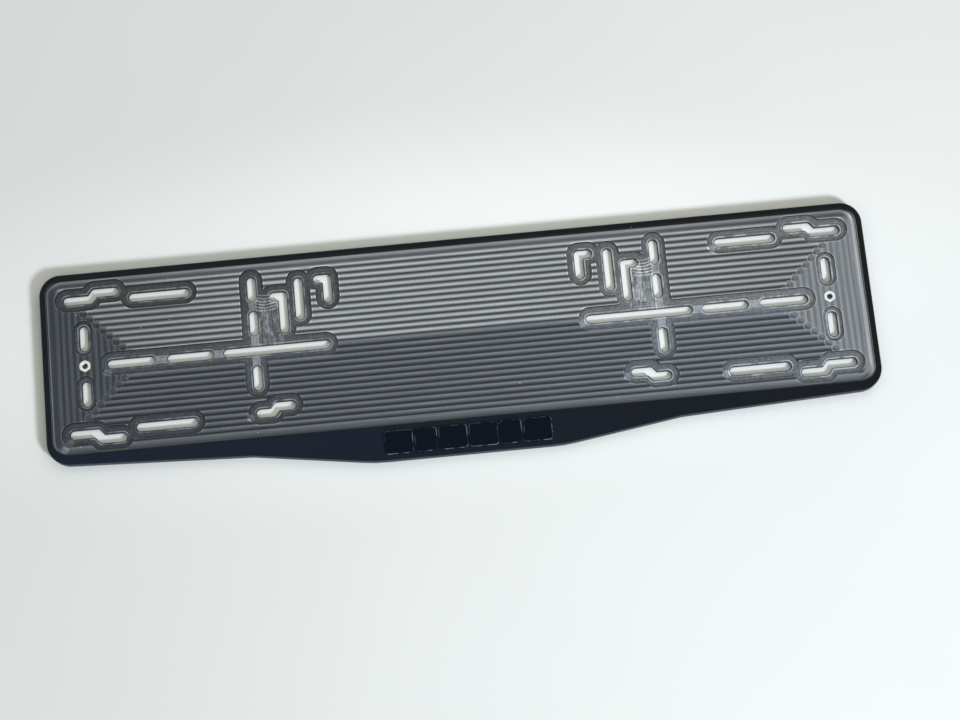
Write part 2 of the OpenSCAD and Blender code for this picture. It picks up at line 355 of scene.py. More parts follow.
class SharedEffects:
    """The node groups that more than one finish uses. All lengths in them are millimetres."""

    BARE_CELLS = 0.55

    def __init__(self) -> None:
        """Build each group once."""
        self.run_distance = self._run_distance()
        self.grain = self._grain()
        self.specks = self._specks()

    @staticmethod
    def _open(name: str, inputs: dict[str, str], outputs: dict[str, str]) -> tuple[Paint, dict, dict]:
        """Start a group.

        Args:
            name: The group's name.
            inputs: Its inputs' types, by name.
            outputs: Its outputs' types, by name.

        Returns:
            The paint for its tree, its inputs and its outputs by name.
        """
        tree = bpy.data.node_groups.new(name, "ShaderNodeTree")
        for label, kind in inputs.items():
            tree.interface.new_socket(label, in_out="INPUT", socket_type=kind)
        for label, kind in outputs.items():
            tree.interface.new_socket(label, in_out="OUTPUT", socket_type=kind)
        paint = Paint(tree)
        entry = paint.node("NodeGroupInput")
        leave = paint.node("NodeGroupOutput")
        given = {label: entry.outputs[label] for label in inputs}
        gives = {label: leave.inputs[label] for label in outputs}
        return paint, given, gives

    def _run_distance(self) -> bpy.types.NodeTree:
        """Build the distance from a place to a straight run between two points.

        Returns:
            The group.
        """
        paint, given, gives = self._open(
            "Run distance",
            {"Place": "NodeSocketVector", "Start": "NodeSocketVector", "End": "NodeSocketVector"},
            {"Distance": "NodeSocketFloat"},
        )
        along = paint.vector("SUBTRACT", given["End"], given["Start"])
        offset = paint.vector("SUBTRACT", given["Place"], given["Start"])
        products = (paint.vector("DOT_PRODUCT", vector, along) for vector in (offset, along))
        share = paint.math("DIVIDE", *products, clamp=True)
        nearest = paint.vector("SCALE", along, scale=share)
        paint.feed(gives["Distance"], paint.vector("DISTANCE", offset, nearest))
        return paint.tree

    def _grain(self) -> bpy.types.NodeTree:
        """Build a fine grain that shifts a shade up and down round 1, with a height to match.

        Returns:
            The group.
        """
        paint, given, gives = self._open(
            "Surface grain",
            {"Place": "NodeSocketVector", "Size": "NodeSocketFloat", "Strength": "NodeSocketFloat"},
            {"Factor": "NodeSocketFloat", "Height": "NodeSocketFloat"},
        )
        fine = paint.vector("SCALE", given["Place"], scale=paint.math("DIVIDE", 1.0, given["Size"]))
        height = paint.noise(fine, 1.0, detail=3.0, roughness=0.65)
        paint.feed(gives["Factor"], paint.factor(paint.math("SUBTRACT", height, 0.5), given["Strength"]))
        paint.feed(gives["Height"], height)
        return paint.tree

    def _specks(self) -> bpy.types.NodeTree:
        """Build a scatter of small specks, such as dust or swarf.

        Returns:
            The group.
        """
        paint, given, gives = self._open(
            "Specks",
            {"Place": "NodeSocketVector", "Spacing": "NodeSocketFloat", "Size": "NodeSocketFloat"},
            {"Mask": "NodeSocketFloat"},
        )
        cells = paint.node("ShaderNodeTexVoronoi")
        paint.feed(cells.inputs["Vector"], given["Place"])
        paint.feed(cells.inputs["Scale"], paint.math("DIVIDE", 1.0, given["Spacing"]))
        reach = paint.math("DIVIDE", given["Size"], given["Spacing"])
        near = paint.math("LESS_THAN", cells.outputs["Distance"], reach)
        luck = paint.parts(cells.outputs["Color"])[0]
        paint.feed(gives["Mask"], paint.product(near, paint.math("GREATER_THAN", luck, self.BARE_CELLS)))
        return paint.tree


@dataclass(frozen=True)
class Grain:
    """A fine grain: its size in millimetres and its strength."""

    size: float
    strength: float

    def over(self, paint: Paint, place: Socket) -> bpy.types.Node:
        """Place the shared grain's node, which gives a factor and a height."""
        return paint.group(paint.effects.grain, place=place, size=self.size, strength=self.strength)


@dataclass(frozen=True)
class Scatter:
    """Scattered specks: how far apart they lie and how large they are, in millimetres."""

    spacing: float
    size: float

    def over(self, paint: Paint, place: Socket) -> Socket:
        """Mask the specks."""
        made = paint.group(paint.effects.specks, place=place, spacing=self.spacing, size=self.size)
        return made.outputs["Mask"]


@dataclass(frozen=True)
class Clouds:
    """Soft noise: its scale for each millimetre, two levels of it, and the results at those levels."""

    scale: float
    levels: Pair
    results: Pair
    roughness: float = 0.5

    def over(self, paint: Paint, place: Socket) -> Socket:
        """Read the result at a place."""
        noise = paint.noise(place, self.scale, roughness=self.roughness)
        return paint.rise(noise, *self.levels, *self.results)


class Dressing(Enum):
    """The record's material slots."""

    PLATE = "holder_plate"
    NUT = "nut"
    TILE = "lip_tile"


@dataclass(frozen=True)
class Run:
    """A straight stretch that a cutter ran on the right half, in millimetres. It may join several slots."""

    start: Pair
    end: Pair
    widening: float = 0.0
    joins_slots: bool = False


@dataclass(frozen=True)
class SlotLayout:
    """Where the cutter ran for the recesses round the slots, read from the boxes of the record's openings.

    The boxes are in metres and have the openings' names. All other lengths are millimetres.
    """

    boxes: Boxes
    slot_radius: float = 2.75
    recess_radius: float = 7.75
    end_recess_radius: float = 6.1
    box_end: float = 1.3075
    outer_arm_reach: float = 118.9
    inner_arm_reach: float = 90.0
    corner_step: Pair = (-3.0, 4.0)
    corner_inner_length: float = 12.8
    stepped_step: Pair = (2.7, -3.6)
    stepped_far_end: float = 132.3

    def _centre_line(self, name: str) -> Run:
        """Find the run between the centres of a slot's round ends.

        Args:
            name: The slot's name on the right half.

        Returns:
            The run.
        """
        low, high = (Vector(corner) / MM for corner in self.boxes["right_" + name])
        middle = (low + high) / 2
        if high.x - low.x > high.y - low.y:
            reach = (high.x - low.x) / 2 - self.box_end
            return Run((middle.x - reach, middle.y), (middle.x + reach, middle.y))
        reach = (high.y - low.y) / 2 - self.box_end
        return Run((middle.x, middle.y - reach), (middle.x, middle.y + reach))

    def mirrored_runs(self) -> list[Run]:
        """List the runs that the lower half mirrors: the row, end slot, long slot and corner slot.

        Returns:
            The runs.
        """
        inner_row = self._centre_line("inner_row_slot")
        outer_row = self._centre_line("outer_row_slot")
        end_slot = self._centre_line("upper_end_slot")
        corner = self._centre_line("upper_corner_slot")
        step = (corner.start[0] + self.corner_step[0], corner.start[1] + self.corner_step[1])
        return [
            Run(inner_row.start, outer_row.end, joins_slots=True),
            inner_row,
            self._centre_line("middle_row_slot"),
            outer_row,
            Run(end_slot.start, end_slot.end, self.recess_radius - self.end_recess_radius),
            self._centre_line("upper_long_slot"),
            corner,
            Run(corner.start, step),
            Run(step, (step[0] - self.corner_inner_length, step[1])),
        ]

    def upper_runs(self) -> list[Run]:
        """List the runs that only one half has: the upright, hooked and stepped slots.

        Returns:
            The runs.
        """
        top = self._centre_line("top_upright_slot")
        bottom = self._centre_line("lower_upright_slot")
        outer_hook = self._centre_line("outer_hooked_slot")
        inner_hook = self._centre_line("inner_hooked_slot")
        stepped = self._centre_line("stepped_slot")
        step = (stepped.end[0] + self.stepped_step[0], stepped.end[1] + self.stepped_step[1])
        return [
            Run(bottom.start, top.end, joins_slots=True),
            top,
            self._centre_line("upper_upright_slot"),
            bottom,
            self._centre_line("long_upright_slot"),
            outer_hook,
            Run(outer_hook.end, (self.outer_arm_reach - self.slot_radius, outer_hook.end[1])),
            inner_hook,
            Run(inner_hook.end, (self.inner_arm_reach - self.slot_radius, inner_hook.end[1])),
            stepped,
            Run(stepped.end, step),
            Run(step, (self.stepped_far_end - self.slot_radius, step[1])),
        ]

    def distances(self, paint: Paint, point: tuple[Socket, Socket]) -> list[tuple[Run, Socket]]:
        """Work out how far a point lies from each run.

        Args:
            paint: The material's paint.
            point: Its two lengths along the sheet.

        Returns:
            Each run with its distance's socket.
        """
        across, up_down = (paint.math("ABSOLUTE", value) for value in point)
        halves = (
            (paint.joined(across, up_down), self.mirrored_runs()),
            (paint.joined(across, point[1]), self.upper_runs()),
        )
        found: list[tuple[Run, Socket]] = []
        for place, runs in halves:
            for run in runs:
                ends = {"start": (*run.start, 0.0), "end": (*run.end, 0.0)}
                made = paint.group(paint.effects.run_distance, place=place, **ends)
                found.append((run, made.outputs["Distance"]))
        return found

    @staticmethod
    def recess_field(paint: Paint, found: list[tuple[Run, Socket]]) -> Socket:
        """Keep the distance to the nearest run, widened so that every recess has the same radius in it.

        Args:
            paint: The material's paint.
            found: Each run with its distance's socket.

        Returns:
            The distance's socket.
        """
        widened = [
            paint.math("ADD", distance, run.widening) if run.widening else distance for run, distance in found
        ]
        return paint.least(widened)


@dataclass(frozen=True)
class PocketSpot:
    """Where a point of the sheet lies, as sockets: its place, its way in from the wall and its sector."""

    place: Socket
    x: Socket
    y: Socket
    z: Socket
    across: Socket
    up_down: Socket
    end_gap: Socket
    side_gap: Socket
    inset: Socket
    at_end: Socket
    upper: Socket
    right: Socket


@dataclass(frozen=True)
class CutFields:
    """How far a point lies from the nearest line of each kind, as sockets in millimetres."""

    recess: Socket
    path: Socket
    slot: Socket


@dataclass(frozen=True)
class Patch:
    """A soft-edged field on both halves of the sheet, by its middle on the right one, in millimetres."""

    middle: Pair
    half_size: Pair
    edge: float = 1.0

    def mask(self, paint: Paint, spot: PocketSpot) -> Socket:
        """Mask the field.

        Args:
            paint: The material's paint.
            spot: Where the point lies.

        Returns:
            The mask, with 1 in the field.
        """
        masks = []
        for value, middle, half in zip((spot.across, spot.y), self.middle, self.half_size):
            masks.append(paint.fall(paint.apart(value, middle), half - self.edge, half))
        return paint.product(*masks)


@dataclass(frozen=True)
class PlateFinish:
    """Satin black skin, milled down to bare grey in the pocket.

    Lengths are millimetres, shades are as seen in the lamps' light, so much of the pocket's shading is painted
    light and shade: the lit and shaded side of each ridge, the bands by the walls, most shades painted lighter
    towards the right end, the bluish sky sheen, the painted shade at the foot of each recess's wall, the
    painted light where its cast shadow falls and the painted dark line at each slot's mouth. The skin holds a
    painted sheen and a painted highlight along its edges. Pairs of shades, shares and strengths go from left to
    right, the pair for the sky sheen on the sides from bottom to top, roughness from skin to milled floor, and
    streak_scale from along the cutter's way to across it. Spans say between which lengths a value changes.
    Edges say over which lengths a mask goes soft, counted from the length that it is for. Slopes, corner_shares
    and swirl_crest have no unit.
    """

    name: str = "Milled black sheet"
    half_length: float = 261.0
    half_height: float = 57.0
    corner_radius: float = 10.0
    front: float = 6.0
    floor_level: float = 4.0
    crest_level: float = 4.3
    first_ridge: float = 5.0
    pitch: float = 4.0
    mouth_span: Pair = (-0.42, -0.38)
    roughness: Pair = (0.42, 0.5)
    specular: float = 0.12
    bump_strength: float = 0.25
    bump_depth: float = 0.05
    skin_rim: Shade = (0.045, 0.06, 0.07)
    # Painted sheen: the lip is painted bluer than the rim, and the skin lighter to the left and darker to the
    # right.
    skin_lip_sheen: Shade = (0.05, 0.085, 0.135)
    lip_span: Pair = (-61.0, -47.0)
    skin_painted_sheen: Pair = (1.35, 0.48)
    skin_grain: Grain = Grain(0.5, 0.5)
    # Painted highlight, partly wear: a light colour on the sloped edges near the front face.
    edge: Shade = (0.30, 0.32, 0.35)
    edge_slopes: tuple[Pair, Pair] = ((0.45, 0.6), (0.85, 0.95))
    edge_wear_and_glint: float = 0.5
    grey_tint: Shade = (0.94, 1.0, 1.02)
    # Painted reflection: a bluish sky sheen mixed into the grey, strongest on the left end and on the lower
    # side.
    sky_sheen_tint: Shade = (0.87, 1.0, 1.20)
    sky_sheen_ends: Pair = (1.0, 0.33)
    sky_sheen_sides: Pair = (0.75, 0.22)
    milled_grain: Grain = Grain(0.8, 0.32)
    dust: Scatter = Scatter(10.0, 0.35)
    dust_strength: float = 0.7
    dust_shade: float = 0.85
    # Painted light and shade: the rings give each ridge a lit and a shaded side, the bands by the wall hold a
    # painted highlight and lift the wall's cast shadow, and the lags, shares and end shades change the shade
    # along the sheet, mostly lighter towards the right.
    top_rings: Stops = ((0.0, 0.42), (0.2, 0.64), (0.42, 0.62), (0.75, 0.26), (1.0, 0.42))
    low_rings: Stops = ((0.0, 0.33), (0.15, 0.22), (0.55, 0.39), (0.86, 0.49), (1.0, 0.33))
    band: float = 6.0
    top_band: Stops = ((0.0, 0.12), (0.14, 0.58), (0.62, 0.35), (1.0, 0.57))
    low_band: Stops = ((0.0, 0.20), (0.18, 0.47), (0.48, 0.40), (0.78, 0.48), (1.0, 0.42))
    left_band: Stops = ((0.0, 0.33), (0.08, 0.48), (0.25, 0.27), (1.0, 0.30))
    right_band: Stops = ((0.0, 0.75), (0.1, 0.95), (0.5, 0.53), (1.0, 0.50))
    top_lag: Pair = (0.2, 0.1)
    top_lag_span: Pair = (-240.0, -60.0)
    low_lag: float = -0.06
    top_share_left: Pair = (0.83, 1.0)
    top_left_span: Pair = (-250.0, -90.0)
    top_share_right: Pair = (1.0, 0.87)
    top_right_span: Pair = (90.0, 240.0)
    low_share: Pair = (0.82, 0.99)
    end_shades: Pair = (0.28, 0.49)
    end_waves: Pair = (0.033, 0.042)
    end_lags: Pair = (0.0, -0.35)
    streak_scale: Pair = (0.02, 1.3)
    side_streaks: float = 0.48
    end_streaks: float = 0.6
    chatter_inset: float = 4.6
    chatter_pitch: float = 1.7
    chatter_strength: float = 0.06
    pocket_wall: float = 0.06
    cut_walls: Pair = (0.16, 0.24)
    wall_slopes: Pair = (0.25, 0.8)
    turn_radius: float = 2.6
    top_discs: Pair = (0.19, 0.36)
    low_discs: Pair = (0.29, 0.42)
    disc_strength: float = 0.55
    turn_rims: Pair = (0.44, 0.68)
    rim_strength: float = 0.7
    recess_shades: Pair = (0.31, 0.465)
    outer_recess_share: Pair = (0.86, 0.91)
    outer_span: Pair = (20.0, 28.0)
    recess_grain: Grain = Grain(2.4, 0.7)
    line_pitch: float = 1.7
    line_depth: Clouds = Clouds(0.1, (0.4, 0.62), (0.02, 0.11))
    # Partly burr and partly painted highlight: a light line outside each recess. Painted shade: a dark edge at
    # the foot of the wall. Painted light: a lift where the wall's cast shadow falls.
    border_burr_and_highlight: float = 0.28
    border_painted_shade: float = 0.72
    wall_shadow: Pair = (1.72, -1.95)
    painted_light_in_shadow: float = 1.22
    bridge_lift: Pair = (0.62, 0.28)
    # Painted shade: a dark line at each slot's mouth. Partly burr and partly painted highlight: a light ring
    # beside it.
    mouth_painted_shade: float = 0.68
    mouth_burr_and_highlight: Pair = (0.52, 0.74)
    mouth_wear: Clouds = Clouds(0.14, (0.38, 0.6), (0.08, 0.9), 0.6)
    swirl: Patch = Patch((121.5, 31.0), (7.0, 6.5))
    swirl_centre: Pair = (121.5, 47.5)
    swirl_pitch: float = 2.0
    swirl_noise: float = 0.35
    swirl_strength: float = 0.7
    swirl_shades: Pair = (0.56, 0.80)
    torn: Patch = Patch((119.5, 17.0), (9.0, 17.0))
    torn_stretch: Point = (1.0, 0.3, 1.0)
    torn_wear: Clouds = Clouds(0.6, (0.35, 0.68), (0.98, 1.38), 0.6)
    burred: Patch = Patch((121.5, 6.5), (9.0, 6.0))
    burrs: Scatter = Scatter(1.6, 0.45)
    burr_strength: float = 0.45
    burr_shade: float = 0.85
    plunges: tuple[Pair, ...] = (
        (-254.0, -53.0), (-251.0, -49.0), (-224.5, -5.4), (-136.0, -43.5),
        (79.5, -2.3), (104.0, -39.5), (167.0, 38.7), (167.0, -43.8),
    )
    plunge_edge: Pair = (2.2, 2.9)
    plunge_light: float = 1.35
    crest_edge: Pair = (0.0, 0.1)
    front_edge: Pair = (-0.02, -0.01)
    worn_edge: Pair = (-0.5, -0.4)
    recess_edge: Pair = (-0.45, -0.3)
    corner_shares: Pair = (0.25, 0.75)
    middle_edge: Pair = (-0.4, 0.4)
    shadow_edge: Pair = (-0.3, 0.3)
    outline_edges: tuple[Pair, Pair] = ((-0.1, 0.0), (0.1, 0.8))
    border_edges: tuple[Pair, Pair] = ((-0.8, -0.1), (0.0, 0.2))
    bridge_edge: Pair = (-0.5, 0.0)
    band_edge: Pair = (-0.9, -0.2)
    chatter_edge: Pair = (0.3, 0.8)
    turns_edge: Pair = (-1.6, -1.2)
    disc_edge: Pair = (-0.5, -0.2)
    rim_edge: Pair = (0.1, 0.5)
    mouth_line_offset: float = 0.1
    mouth_line_edge: Pair = (0.15, 0.4)
    mouth_ring_offset: float = 0.9
    mouth_ring_edge: Pair = (0.25, 0.6)
    swirl_crest: Pair = (0.0, 0.9)

    def build(self, effects: SharedEffects, layout: SlotLayout) -> bpy.types.Material:
        """Make the sheet's material.

        Args:
            effects: The shared node groups.
            layout: Where the recesses run.

        Returns:
            The material.
        """
        material, paint, shader, place = open_material(self.name, effects)
        spot = self._locate(paint, place)
        slope = paint.slope()
        above = paint.rise_at(spot.z, self.crest_level, self.crest_edge)
        wall = paint.choose(above, paint.choose(spot.right, *self.cut_walls), self.pocket_wall)
        milled = self._milled(paint, spot, layout)
        milled = paint.choose(paint.rise(slope, *self.wall_slopes), wall, milled)
        # Painted reflection: a bluish sky sheen, by sector.
        sky_sheen = paint.choose(
            spot.at_end, paint.choose(spot.upper, *self.sky_sheen_sides), paint.choose(spot.right, *self.sky_sheen_ends)
        )
        tint = paint.tint(sky_sheen, (*self.grey_tint, 1.0), (*self.sky_sheen_tint, 1.0))
        grey = paint.vector("SCALE", tint, scale=paint.math("POWER", milled, EYE_GAMMA))

        grain = self.skin_grain.over(paint, place)
        skin = self._skin(paint, spot, slope, grain.outputs["Factor"])
        below_front = paint.fall_at(spot.z, self.front, self.front_edge)
        inside = paint.product(paint.rise(spot.inset, *self.mouth_span), below_front)
        paint.feed(shader.inputs["Base Color"], paint.tint(inside, skin, grey))
        paint.feed(shader.inputs["Roughness"], paint.choose(inside, *self.roughness))
        shader.inputs["Specular IOR Level"].default_value = self.specular
        paint.bump(shader, grain.outputs["Height"], self.bump_strength, self.bump_depth)
        return material

    def _locate(self, paint: Paint, place: Socket) -> PocketSpot:
        """Work out how far in from the wall a point lies, and whether by an end, above or below.

        Args:
            paint: The material's paint.
            place: The place on the sheet, in millimetres.

        Returns:
            The spot. Rings nearer to the wall than the corners' radius go round the corners.
        """
        x, y, z = paint.parts(place)
        across = paint.math("ABSOLUTE", x)
        up_down = paint.math("ABSOLUTE", y)
        end_gap = paint.math("SUBTRACT", self.half_length, across)
        side_gap = paint.math("SUBTRACT", self.half_height, up_down)
        nearest = paint.math("MINIMUM", end_gap, side_gap)
        from_end = paint.math("MAXIMUM", paint.math("SUBTRACT", self.corner_radius, end_gap), 0.0)
        from_side = paint.math("MAXIMUM", paint.math("SUBTRACT", self.corner_radius, side_gap), 0.0)
        from_centre = paint.vector("LENGTH", paint.joined(from_end, from_side))
        rounded = paint.math("SUBTRACT", self.corner_radius, from_centre)
        outermost = paint.math("LESS_THAN", nearest, self.corner_radius)
        share = paint.math("DIVIDE", from_end, paint.math("ADD", from_end, from_side))
        mitre = paint.math("LESS_THAN", end_gap, side_gap)
        return PocketSpot(
            place, x, y, z, across, up_down, end_gap, side_gap,
            inset=paint.choose(outermost, nearest, rounded),
            at_end=paint.choose(outermost, mitre, paint.rise(share, *self.corner_shares)),
            upper=paint.rise(y, *self.middle_edge),
            right=paint.rise(x, -self.half_length, self.half_length),
        )

    def _skin(self, paint: Paint, spot: PocketSpot, slope: Socket, grain: Socket) -> Socket:
        """Colour the black skin, with a painted sheen and a painted highlight.

        The sheen is bluer on the lip, lighter to the left and darker to the right. The highlight, partly wear,
        runs along the pocket's mouth.

        Args:
            paint: The material's paint.
            spot: Where the point lies.
            slope: How far the surface faces up.
            grain: What the grain multiplies it by.

        Returns:
            The colour.
        """
        lip = paint.fall(spot.y, *self.lip_span)
        skin = paint.tint(lip, as_linear(self.skin_rim), as_linear(self.skin_lip_sheen))
        # Painted sheen, lighter to the left and darker to the right.
        painted_light = paint.choose(spot.right, *self.skin_painted_sheen)
        skin = paint.vector("SCALE", skin, scale=paint.product(painted_light, grain))
        # Painted highlight, partly wear, on the sloped edges near the front face.
        near_front = paint.rise_at(spot.z, self.front, self.worn_edge)
        wear_and_glint = paint.product(paint.between(slope, *self.edge_slopes), near_front, self.edge_wear_and_glint)
        return paint.tint(wear_and_glint, skin, as_linear(self.edge))

    def _milled(self, paint: Paint, spot: PocketSpot, layout: SlotLayout) -> Socket:
        """Shade what the cutters left: rings, recesses and plunges with painted light and shade, a fine grain
        and dust.

        Args:
            paint: The material's paint.
            spot: Where the point lies.
            layout: Where the recesses run.

        Returns:
            The shade.
        """
        found = layout.distances(paint, (spot.x, spot.y))
        cuts = CutFields(
            recess=layout.recess_field(paint, found),
            path=paint.least([distance for _, distance in found]),
            slot=paint.least([distance for run, distance in found if not run.joins_slots]),
        )
        # Painted light: the floor is lifted where the recess's wall would cast the main lamp's shadow, found by
        # moving the point towards the lamp.
        shift_x, shift_y = self.wall_shadow
        lit_from = (paint.math("ADD", spot.x, shift_x), paint.math("ADD", spot.y, shift_y))
        beyond = layout.recess_field(paint, layout.distances(paint, lit_from))
        radius = layout.recess_radius
        shadowed = paint.rise_at(beyond, radius, self.shadow_edge)

        rings = self._with_turns(paint, self._ring_shade(paint, spot), spot)
        # A light line outside each recess's wall, partly burr and partly painted highlight.
        inner, outer = self.outline_edges
        outline = paint.product(
            paint.rise_at(cuts.recess, radius, inner), paint.fall_at(cuts.recess, radius, outer)
        )
        rings = paint.product(rings, paint.factor(outline, self.border_burr_and_highlight))
        recess = self._with_wear(paint, self._recess_shade(paint, spot, cuts, shadowed, layout), spot)
        in_recess = paint.fall_at(spot.z, self.floor_level, self.recess_edge)
        milled = self._with_plunges(paint, paint.choose(in_recess, rings, recess), spot.place)
        fine = self.milled_grain.over(paint, spot.place)
        milled = paint.product(milled, fine.outputs["Factor"])
        dusty = paint.product(self.dust.over(paint, spot.place), self.dust_strength)
        return paint.choose(dusty, milled, self.dust_shade)

    def _streaks(self, paint: Paint, along: Socket, over: Socket, strength: float) -> Socket:
        """Draw fine streaks along the cutter's way.

        Args:
            paint: The material's paint.
            along: How far along it a point lies.
            over: How far across it.
            strength: How far the streaks swing.

        Returns:
            A factor round 1.
        """
        scaled = (paint.product(value, scale) for value, scale in zip((along, over), self.streak_scale))
        noise = paint.noise(paint.joined(*scaled), 1.0, detail=3.0, roughness=0.7)
        return paint.factor(paint.math("SUBTRACT", noise, 0.5), strength)

    def _ring_shade(self, paint: Paint, spot: PocketSpot) -> Socket:
        """Shade the pocket's floor with painted light and shade, by the sector that it runs in.

        Each ridge has a lit and a shaded side. The bands by the wall hold a painted highlight and lift the
        wall's cast shadow, and the shade changes along the sheet.

        Args:
            paint: The material's paint.
            spot: Where the point lies.

        Returns:
            The shade.
        """
        turned = paint.math("DIVIDE", paint.math("SUBTRACT", spot.inset, self.first_ridge), self.pitch)
        in_band = paint.math("DIVIDE", spot.inset, self.band, clamp=True)
        past_band = paint.rise_at(spot.inset, self.band, self.band_edge)

        lag = paint.rise(spot.x, *self.top_lag_span, *self.top_lag)
        top = paint.curve(paint.math("FRACT", paint.math("ADD", turned, lag)), self.top_rings)
        top = paint.product(
            paint.choose(past_band, paint.curve(in_band, self.top_band), top),
            paint.rise(spot.x, *self.top_left_span, *self.top_share_left),
            paint.rise(spot.x, *self.top_right_span, *self.top_share_right),
        )
        low = paint.curve(paint.math("FRACT", paint.math("ADD", turned, self.low_lag)), self.low_rings)
        low = paint.choose(past_band, paint.curve(in_band, self.low_band), low)
        low = paint.product(low, paint.choose(spot.right, *self.low_share))
        streaks = self._streaks(paint, spot.x, spot.y, self.side_streaks)
        sides = paint.product(paint.choose(spot.upper, low, top), streaks)

        late = paint.math("ADD", turned, paint.choose(spot.right, *self.end_lags))
        wave = paint.product(paint.wave(late, 1.0), paint.choose(spot.right, *self.end_waves))
        end = paint.math("ADD", paint.choose(spot.right, *self.end_shades), wave)
        bands = (paint.curve(in_band, stops) for stops in (self.left_band, self.right_band))
        chatter_mask = paint.fall(paint.apart(spot.inset, self.chatter_inset), *self.chatter_edge)
        chatter = paint.product(paint.wave(spot.y, self.chatter_pitch), chatter_mask)
        end = paint.product(
            paint.choose(past_band, paint.choose(spot.right, *bands), end),
            self._streaks(paint, spot.y, spot.x, self.end_streaks),
            paint.factor(chatter, self.chatter_strength),
        )
        return paint.choose(spot.at_end, sides, end)

    def _with_turns(self, paint: Paint, shade: Socket, spot: PocketSpot) -> Socket:
        """Add the round mark at each turn of the cutter, a disc with a light rim.

        Args:
            paint: The material's paint.
            shade: The shade so far.
            spot: Where the point lies.

        Returns:
            The shade with the marks.
        """
        midway = paint.product(paint.math("ADD", spot.end_gap, spot.side_gap), 0.5)
        turned = paint.math("DIVIDE", paint.math("SUBTRACT", midway, self.first_ridge), self.pitch)
        centre = paint.product(paint.math("ADD", paint.math("FLOOR", turned), 0.5), self.pitch)
        centre = paint.math("ADD", centre, self.first_ridge)
        offsets = (paint.math("SUBTRACT", gap, centre) for gap in (spot.end_gap, spot.side_gap))
        reach = paint.vector("LENGTH", paint.joined(*offsets))
        kept = paint.rise_at(spot.inset, self.corner_radius, self.turns_edge)
        inner = paint.choose(
            spot.upper, paint.choose(spot.right, *self.low_discs), paint.choose(spot.right, *self.top_discs)
        )
        disc = paint.fall_at(reach, self.turn_radius, self.disc_edge)
        shade = paint.choose(paint.product(disc, kept, self.disc_strength), shade, inner)
        rim = paint.fall(paint.apart(reach, self.turn_radius), *self.rim_edge)
        light = paint.choose(spot.right, *self.turn_rims)
        return paint.choose(paint.product(rim, kept, self.rim_strength), shade, light)

    def _recess_shade(
        self, paint: Paint, spot: PocketSpot, cuts: CutFields, shadowed: Socket, layout: SlotLayout
    ) -> Socket:
        """Shade the recesses' floors, with the cutter's lines round the slots.

        A painted shade darkens the foot of each wall, painted light lifts the floor where the wall's cast
        shadow falls, a painted dark line runs round each slot's mouth, and a light ring beside it is partly
        burr and partly painted highlight.

        Args:
            paint: The material's paint.
            spot: Where the point lies.
            cuts: How far it lies from the cutters' lines.
            shadowed: Where the recess's wall stands between the point and the main lamp.
            layout: Where the recesses run.

        Returns:
            The shade.
        """
        outer = paint.rise(spot.up_down, *self.outer_span)
        depth = self.line_depth.over(paint, spot.place)
        lines = paint.product(paint.wave(cuts.recess, self.line_pitch), depth)
        wall, (foot, top) = layout.recess_radius, self.border_edges
        border = paint.product(
            paint.rise_at(cuts.recess, wall, foot),
            paint.fall_at(cuts.recess, wall, top),
            paint.math("SUBTRACT", 1.0, shadowed),
        )
        bridge = paint.fall_at(cuts.path, layout.slot_radius, self.bridge_edge)
        # Painted shade: a dark line at the slot's mouth.
        line = paint.apart(cuts.slot, layout.slot_radius + self.mouth_line_offset)
        base = paint.product(
            paint.choose(spot.right, *self.recess_shades),
            paint.choose(outer, 1.0, paint.choose(spot.right, *self.outer_recess_share)),
            paint.factor(lines),
            self.recess_grain.over(paint, spot.place).outputs["Factor"],
            paint.choose(border, 1.0, self.border_painted_shade),
            paint.choose(shadowed, 1.0, self.painted_light_in_shadow),
            paint.factor(bridge, paint.choose(spot.right, *self.bridge_lift)),
            paint.rise(line, *self.mouth_line_edge, self.mouth_painted_shade, 1.0),
        )
        # A light ring beside the slot's mouth, partly burr and partly painted highlight.
        ring = paint.apart(cuts.slot, layout.slot_radius + self.mouth_ring_offset)
        ring = paint.fall(ring, *self.mouth_ring_edge)
        mouth = paint.product(ring, self.mouth_wear.over(paint, spot.place))
        return paint.choose(mouth, base, paint.choose(spot.right, *self.mouth_burr_and_highlight))

    def _with_wear(self, paint: Paint, shade: Socket, spot: PocketSpot) -> Socket:
        """Add what a blunt cutter left between the upright slots: arcs, a torn field and burrs.

        Args:
            paint: The material's paint.
            shade: The shade so far.
            spot: Where the point lies.

        Returns:
            The shade with the wear.
        """
        around = paint.vector("DISTANCE", paint.joined(spot.across, spot.y), (*self.swirl_centre, 0.0))
        wobble = paint.noise(spot.place, self.swirl_noise, detail=1.0)
        arcs = paint.wave(paint.math("ADD", around, wobble), self.swirl_pitch)
        arcs = paint.rise(arcs, *self.swirl_crest)
        swirl = paint.product(arcs, self.swirl.mask(paint, spot), self.swirl_strength)
        shade = paint.choose(swirl, shade, paint.choose(spot.right, *self.swirl_shades))
        torn = self.torn_wear.over(paint, paint.vector("MULTIPLY", spot.place, self.torn_stretch))
        shade = paint.product(shade, paint.choose(self.torn.mask(paint, spot), 1.0, torn))
        burrs = self.burrs.over(paint, spot.place)
        rough = paint.product(burrs, self.burred.mask(paint, spot), self.burr_strength)
        return paint.choose(rough, shade, self.burr_shade)

    def _with_plunges(self, paint: Paint, shade: Socket, place: Socket) -> Socket:
        """Lighten the discs where the cutter went straight down.

        Args:
            paint: The material's paint.
            shade: The shade so far.
            place: The place on the sheet, in millimetres.

        Returns:
            The shade with the discs.
        """
        flat = paint.vector("MULTIPLY", place, (1.0, 1.0, 0.0))
        nearest = paint.least([paint.vector("DISTANCE", flat, (*spot, 0.0)) for spot in self.plunges])
        return paint.product(shade, paint.rise(nearest, *self.plunge_edge, self.plunge_light, 1.0))


